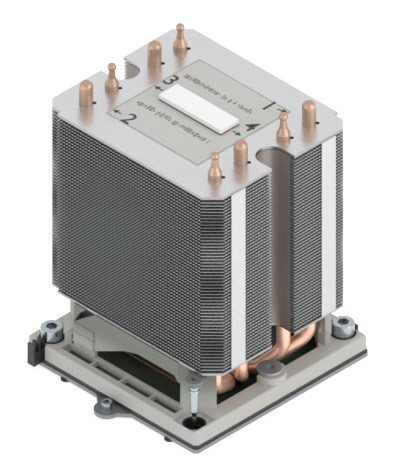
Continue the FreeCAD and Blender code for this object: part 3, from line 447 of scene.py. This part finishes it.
def sheared_edge():
    """A duller colour on the upright faces, where the sheet was cut."""
    group, inside, out = effect_group(
        "sheared_edge",
        [("Color", "NodeSocketColor", (0.8, 0.8, 0.8, 1.0)),
         ("Edge", "NodeSocketColor", (0.4, 0.4, 0.4, 1.0))],
        [("Color", "NodeSocketColor")])
    make, link = group.nodes.new, group.links.new
    surface = make("ShaderNodeNewGeometry")
    parts = make("ShaderNodeSeparateXYZ")
    link(surface.outputs["True Normal"], parts.inputs[0])
    blend = make("ShaderNodeMixRGB")
    link(reckon(group, "ABSOLUTE", parts.outputs["Z"]), blend.inputs["Fac"])
    link(inside.outputs["Edge"], blend.inputs["Color1"])
    link(inside.outputs["Color"], blend.inputs["Color2"])
    link(blend.outputs["Color"], out.inputs["Color"])
    return group


def dimpled_rim():
    """Rows of light and dark spots along each fin's rim; painted light and shade in broad bands
    down the chamfers, and painted light on the rims of the short end faces.
    """
    group, inside, out = effect_group(
        "dimpled_rim",
        [("Color", "NodeSocketColor", (0.8, 0.8, 0.8, 1.0)),
         ("Shade", "NodeSocketColor", (0.1, 0.1, 0.1, 1.0))],
        [("Color", "NodeSocketColor")])
    make, link = group.nodes.new, group.links.new
    place = make("ShaderNodeTexCoord")
    split = make("ShaderNodeSeparateXYZ")
    link(place.outputs["Object"], split.inputs[0])
    x, y, z = (split.outputs[axis] for axis in "XYZ")

    def times(first, second):
        return reckon(group, "MULTIPLY", first, second)

    def beyond(coordinate, edge):
        return reckon(group, "GREATER_THAN", reckon(group, "ABSOLUTE", coordinate), edge)

    long_rim = beyond(y, stack_high.y - DIMPLE_REACH)
    short_rim = beyond(x, stack_high.x - DIMPLE_REACH)
    corner = times(beyond(x, stack_high.x - CHAMFER_REACH), beyond(y, stack_high.y - CHAMFER_REACH))
    flat = reckon(group, "SUBTRACT", 1.0, corner)
    along = reckon(group, "ADD", times(x, long_rim), times(y, short_rim))
    wave = reckon(group, "SINE", times(along, 2.0 * math.pi / DIMPLE_PITCH))
    drop = reckon(group, "SUBTRACT", stack_high.z - BAND_DROP, z)
    band = reckon(group, "COSINE", times(drop, 2.0 * math.pi / BAND_PITCH))
    any_rim = reckon(group, "MAXIMUM", long_rim, short_rim)
    spotted = times(times(wave, DIMPLE_CONTRAST), times(flat, any_rim))
    # Painted light and shade: broad dark and light bands down the chamfered corners, and lighter
    # rims on the short end faces.
    painted_bands = times(times(band, -BAND_CONTRAST), corner)
    painted_end_light = times(times(short_rim, flat), END_PAINTED_LIGHT)
    level = make("ShaderNodeMapRange")
    level.inputs["From Min"].default_value = -0.5
    level.inputs["From Max"].default_value = 0.5
    link(reckon(group, "ADD", reckon(group, "ADD", spotted, painted_bands), painted_end_light),
         level.inputs["Value"])
    blend = make("ShaderNodeMixRGB")
    link(level.outputs["Result"], blend.inputs["Fac"])
    link(inside.outputs["Shade"], blend.inputs["Color1"])
    link(inside.outputs["Color"], blend.inputs["Color2"])
    link(blend.outputs["Color"], out.inputs["Color"])
    return group


def slot_wall(side):
    """A half round and its two straight sides, drawn up from one end plate to the other."""
    bm = bmesh.new()
    ring = bmesh.ops.create_circle(bm, cap_ends=False, segments=ROUND_STEPS,
                                   radius=SLOT_RADIUS)["verts"]
    bmesh.ops.delete(bm, geom=[vert for vert in ring if vert.co.x > NEAR_ZERO], context="VERTS")
    bm.verts.ensure_lookup_table()
    ends = sorted(bm.verts, key=lambda vert: vert.co.x)[-2:]
    centre_x = stack_high.x - SLOT_DEPTH + SLOT_RADIUS
    mouth_x = stack_high.x - SLOT_MOUTH_SETBACK
    bmesh.ops.translate(bm, vec=(centre_x, 0.0, stack_low.z), verts=bm.verts[:])
    straight = bmesh.ops.extrude_vert_indiv(bm, verts=ends)["verts"]
    bmesh.ops.translate(bm, vec=(mouth_x - centre_x, 0.0, 0.0), verts=straight)
    rise = bmesh.ops.extrude_edge_only(bm, edges=bm.edges[:])["geom"]
    bmesh.ops.translate(bm, vec=(0.0, 0.0, stack_high.z - stack_low.z),
                        verts=[item for item in rise if isinstance(item, bmesh.types.BMVert)])
    thicken(bm, SLOT_WALL_THICKNESS)
    if side < 0:
        bmesh.ops.rotate(bm, cent=(0.0, 0.0, 0.0), matrix=Matrix.Rotation(math.pi, 3, "Z"),
                         verts=bm.verts[:])
    return bm


SHEARED_EDGE = sheared_edge()
rolled_fins = grained("rolled_fins", (0.80, 0.80, 0.81), 0.42, metallic=0.9, drift=0.08,
                      scale=600.0, stretch=(0.15, 1.0, 1.0))
recolor(rolled_fins, SHEARED_EDGE, Edge=(0.45, 0.45, 0.455, 1.0))
# The fins' rims carry painted light and shade: bands down the chamfers and lighter short end faces.
recolor(rolled_fins, dimpled_rim(), Shade=(0.06, 0.06, 0.062, 1.0))
dress(rolled_fins, "fin_stack")
tab_sheet = grained("tab_sheet", (0.57, 0.57, 0.575), 0.42, metallic=0.5, drift=0.04,
                    scale=600.0, stretch=(1.0, 1.0, 0.15))
dress(tab_sheet, "fin_tab_walls")
satin_plate = grained("satin_plate", (0.66, 0.66, 0.67), 0.27, metallic=0.9, drift=0.06,
                      scale=900.0, stretch=(0.2, 1.0, 1.0))
recolor(satin_plate, SHEARED_EDGE, Edge=(0.34, 0.34, 0.34, 1.0))
dress(satin_plate, "top_plate", "bottom_plate")
folded_wall = grained("folded_wall", (0.31, 0.28, 0.26), 0.45, metallic=0.6, drift=0.12,
                      scale=500.0, stretch=(1.0, 1.0, 0.1))
for name, side in (("slot_wall_right", 1), ("slot_wall_left", -1)):
    piece_from(name, slot_wall(side), folded_wall)


# ------------------------------------------------------------------------------------------------
# Label and pad: a matt grey film label stuck on the top plate, with a foam pad under a white film
# in its middle. The print is the order in which the four screws are tightened, with an arrow to
# each, and plain rows of dashes inside a thin border.
# ------------------------------------------------------------------------------------------------
PAD_SHADOW_FADE_LOW = 0.3 * MM  # the pad's side turns from a painted contact shadow at its foot to light grey between these two rises
PAD_SHADOW_FADE_HIGH = 1.2 * MM
INK_GAP = 0.01 * MM
INK_DEPTH = 0.02 * MM
NUMERAL_HEIGHT = 10.5 * MM
STROKE_SWELL = 0.12 * MM
ARROW_HEAD = 1.7 * MM
ARROW_SHAFT = (2.4 * MM, 0.7 * MM)
SHAFT_SETBACK = 2.0 * MM
BORDER = 0.3 * MM

# Each screw's numeral, the numeral's place, its arrow's place (both in mm from the centre of the
# object) and the arrow's direction in degrees.
SCREW_ORDER = (("1", (17.9, 24.6), (25.2, 26.6), 15.0),
               ("2", (-17.3, -23.9), (-25.2, -23.6), 180.0),
               ("3", (-24.7, 8.6), (-25.0, 1.0), 180.0),
               ("4", (23.2, 8.6), (23.3, 1.0), 0.0))

# The rows of dashes, in mm: each row's y and its two ends, and how the dashes in it vary.
DASH_ROWS = ((16.0, -23.0, 17.6), (-12.0, -23.6, 19.0))
ROW_END_MARGIN = 1.0
DASH_LENGTHS = (0.4, 1.3)
DASH_OFFSETS = (-0.5, 0.5)
DASH_HEIGHTS = (1.2, 3.4)
DASH_GAPS = (0.4, 0.4, 0.5, 0.5, 0.6, 1.6)

pad_low = Vector(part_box("foam_pad")[0])
label_low, label_high = (Vector(corner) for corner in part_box("label"))
ink_level = label_high.z + INK_GAP


def numeral(bm, text, middle_x, middle_y):
    """One stencilled figure, centred on its place."""
    curve = bpy.data.curves.new("numeral", "FONT")
    curve.body = text
    curve.size = NUMERAL_HEIGHT
    curve.offset = STROKE_SWELL
    curve.align_x = "CENTER"
    curve.align_y = "CENTER"
    holder = bpy.data.objects.new("numeral", curve)
    scene.collection.objects.link(holder)
    flat = bpy.data.meshes.new_from_object(holder)
    before = set(bm.verts)
    bm.from_mesh(flat)
    fresh = [vert for vert in bm.verts if vert not in before]
    bmesh.ops.translate(bm, vec=(middle_x, middle_y, ink_level), verts=fresh)
    bpy.data.objects.remove(holder)
    bpy.data.curves.remove(curve)
    bpy.data.meshes.remove(flat)


def bar(bm, length, height):
    """A flat rectangle round the origin, and its corners."""
    corners = bmesh.ops.create_grid(bm, x_segments=1, y_segments=1, size=0.5)["verts"]
    bmesh.ops.scale(bm, vec=(length, height, 1.0), verts=corners)
    return corners


def dash(bm, left, y, length, height):
    """One printed bar from its left end, with y at its middle."""
    bmesh.ops.translate(bm, verts=bar(bm, length, height), vec=(left + length / 2, y, ink_level))


def arrow(bm, x, y, degrees):
    """A solid head on a short shaft."""
    head = bmesh.ops.create_circle(bm, cap_ends=True, segments=3, radius=ARROW_HEAD)["verts"]
    bmesh.ops.rotate(bm, cent=(0.0, 0.0, 0.0), verts=head,
                     matrix=Matrix.Rotation(-math.pi / 2, 3, "Z"))
    shaft = bar(bm, *ARROW_SHAFT)
    bmesh.ops.translate(bm, vec=(-SHAFT_SETBACK, 0.0, 0.0), verts=shaft)
    both = head + shaft
    bmesh.ops.rotate(bm, cent=(0.0, 0.0, 0.0), verts=both,
                     matrix=Matrix.Rotation(math.radians(degrees), 3, "Z"))
    bmesh.ops.translate(bm, vec=(x, y, ink_level), verts=both)


def screw_order():
    """The four numerals, each with its arrow."""
    bm = bmesh.new()
    for text, (x, y), (tip_x, tip_y), degrees in SCREW_ORDER:
        numeral(bm, text, x * MM, y * MM)
        arrow(bm, tip_x * MM, tip_y * MM, degrees)
    thicken(bm, INK_DEPTH)
    return bm


def rows_and_border():
    """Rows of uneven dashes, and a line round the label's edge."""
    bm = bmesh.new()
    chance = random.Random(7)
    for row_y, left, row_right in DASH_ROWS:
        while left < row_right - ROW_END_MARGIN:
            length = chance.uniform(*DASH_LENGTHS)
            y = row_y + chance.uniform(*DASH_OFFSETS)
            dash(bm, left * MM, y * MM, length * MM, chance.uniform(*DASH_HEIGHTS) * MM)
            left += length + chance.choice(DASH_GAPS)
    label_length, label_width = label_high.x - label_low.x, label_high.y - label_low.y
    for y in (label_low.y + BORDER, label_high.y - BORDER):
        dash(bm, label_low.x + BORDER, y, label_length - 2 * BORDER, BORDER)
    for x in (label_low.x + BORDER, label_high.x - 2 * BORDER):
        dash(bm, x, (label_low.y + label_high.y) / 2, BORDER, label_width - 3 * BORDER)
    thicken(bm, INK_DEPTH)
    return bm


label_film = grained("label_film", (0.555, 0.555, 0.53), 0.55, drift=0.04, scale=1500.0)
pad_foam = grained("pad_foam", (0.06, 0.06, 0.06), 0.8, drift=0.3, scale=2500.0, depth=0.4)
# Painted shadow: the pad's side is dark along its foot, where it meets the label, and light grey
# above.
recolor(pad_foam, HEIGHT_LIGHT_AND_SHADE, Low=pad_low.z + PAD_SHADOW_FADE_LOW, High=pad_low.z + PAD_SHADOW_FADE_HIGH,
        Tint=(0.80, 0.80, 0.79, 1.0))
pad_white = grained("pad_white", (0.92, 0.92, 0.92), 0.4, drift=0.02)
dress(label_film, "label")
dress(pad_foam, "foam_pad")
dress(pad_white, "pad_film")
black_ink = grained("black_ink", (0.05, 0.05, 0.05), 0.6, drift=0.2)
piece_from("label_numerals", screw_order(), black_ink)
grey_ink = grained("grey_ink", (0.20, 0.20, 0.195), 0.6, drift=0.2)
piece_from("label_dashes", rows_and_border(), grey_ink)
